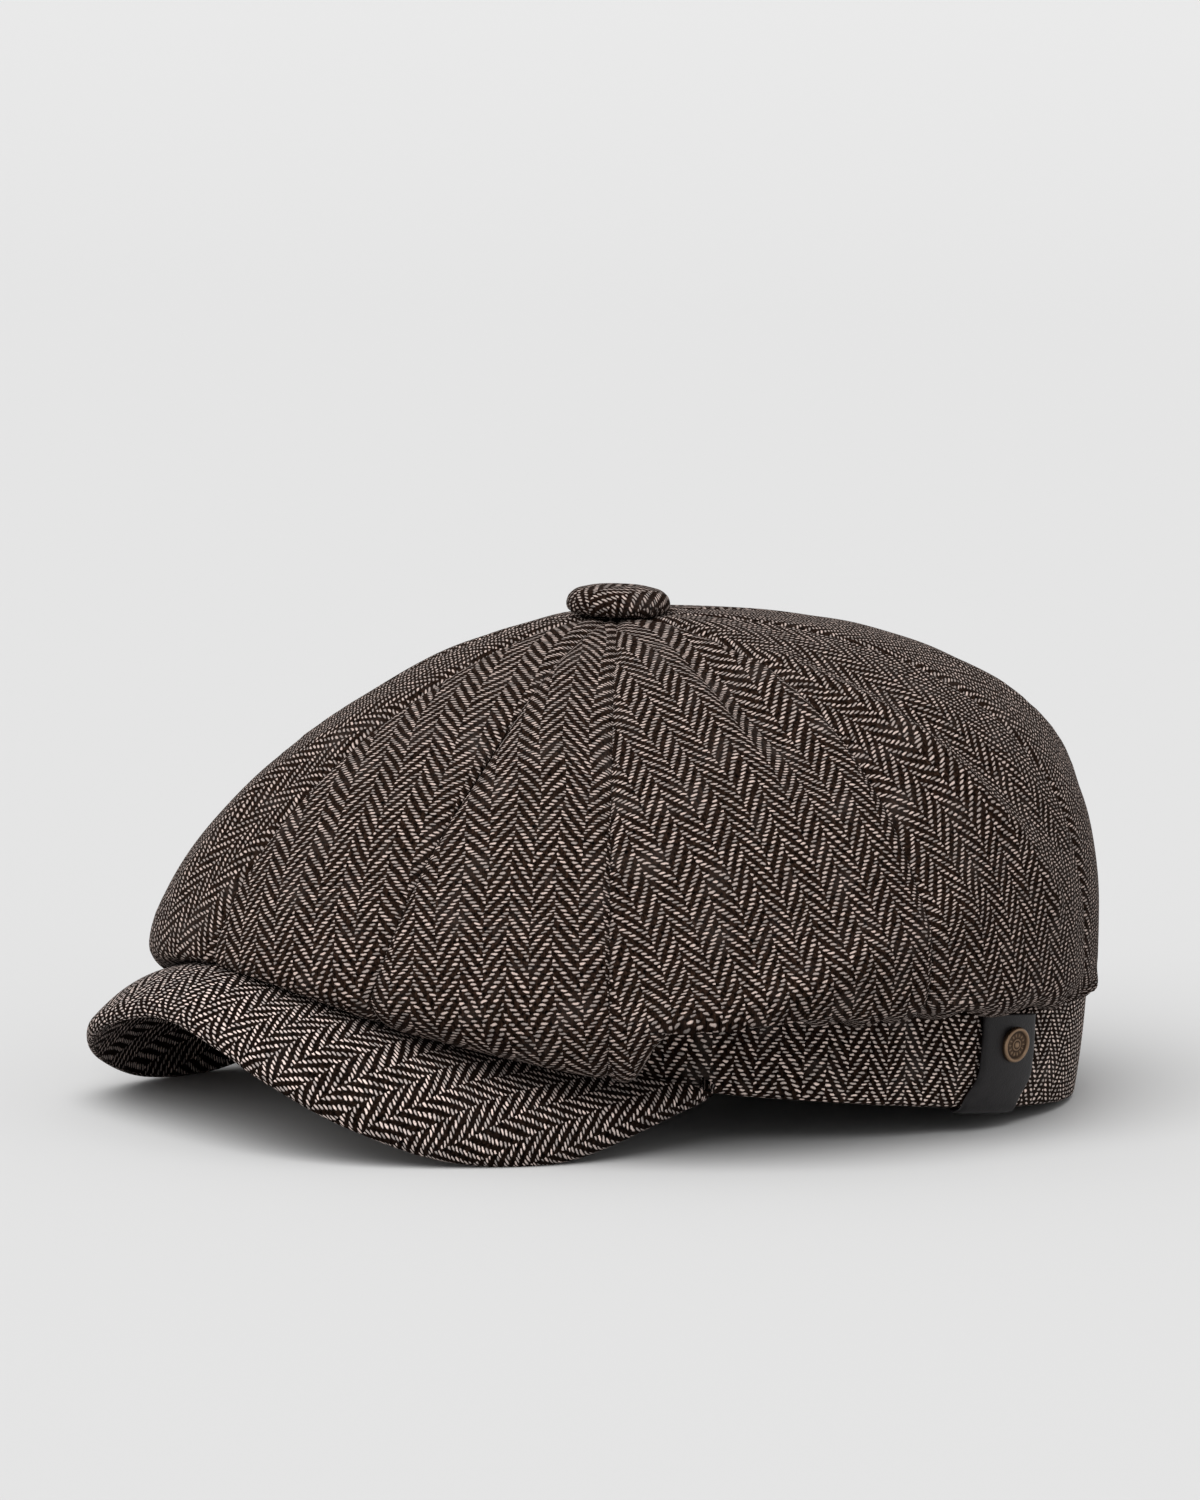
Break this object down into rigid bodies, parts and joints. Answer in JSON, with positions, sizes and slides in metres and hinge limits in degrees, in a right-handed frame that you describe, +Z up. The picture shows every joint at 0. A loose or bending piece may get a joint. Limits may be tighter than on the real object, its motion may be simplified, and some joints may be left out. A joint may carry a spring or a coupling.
{
  "type": "newsboy flat cap",
  "caption": "Worn tweed flat cap with a full panelled crown, covered button, narrow band, arched peak and a riveted leather tab; the head hollow is open below.",
  "frame": {"origin": "on the floor, under the middle of the whole cap", "axes": "+Z up; the wearer looks towards -Y, so the peak points to -Y; +X is the wearer's left, where the leather tab is"},
  "size_m": [0.2094, 0.2566, 0.1241],
  "materials": {
    "crown_tweed": "herringbone wool, matt",
    "button_tweed": "herringbone wool, matt",
    "band_tweed": "herringbone wool, matt",
    "peak_tweed": "herringbone wool, matt",
    "leather": "satin",
    "antique_brass": "aged, half matt"
  },
  "bodies": {
    "root": {"crown_panel_1": "crown_tweed", "crown_panel_2": "crown_tweed", "crown_panel_3": "crown_tweed", "crown_panel_4": "crown_tweed", "crown_panel_5": "crown_tweed", "crown_panel_6": "crown_tweed", "crown_panel_7": "crown_tweed", "crown_panel_8": "crown_tweed", "crown_panel_9": "crown_tweed", "crown_panel_10": "crown_tweed", "top_button": "button_tweed", "band": "band_tweed", "peak": "peak_tweed", "leather_tab": "leather", "rivet": "antique_brass"}
  },
  "joints": []
}
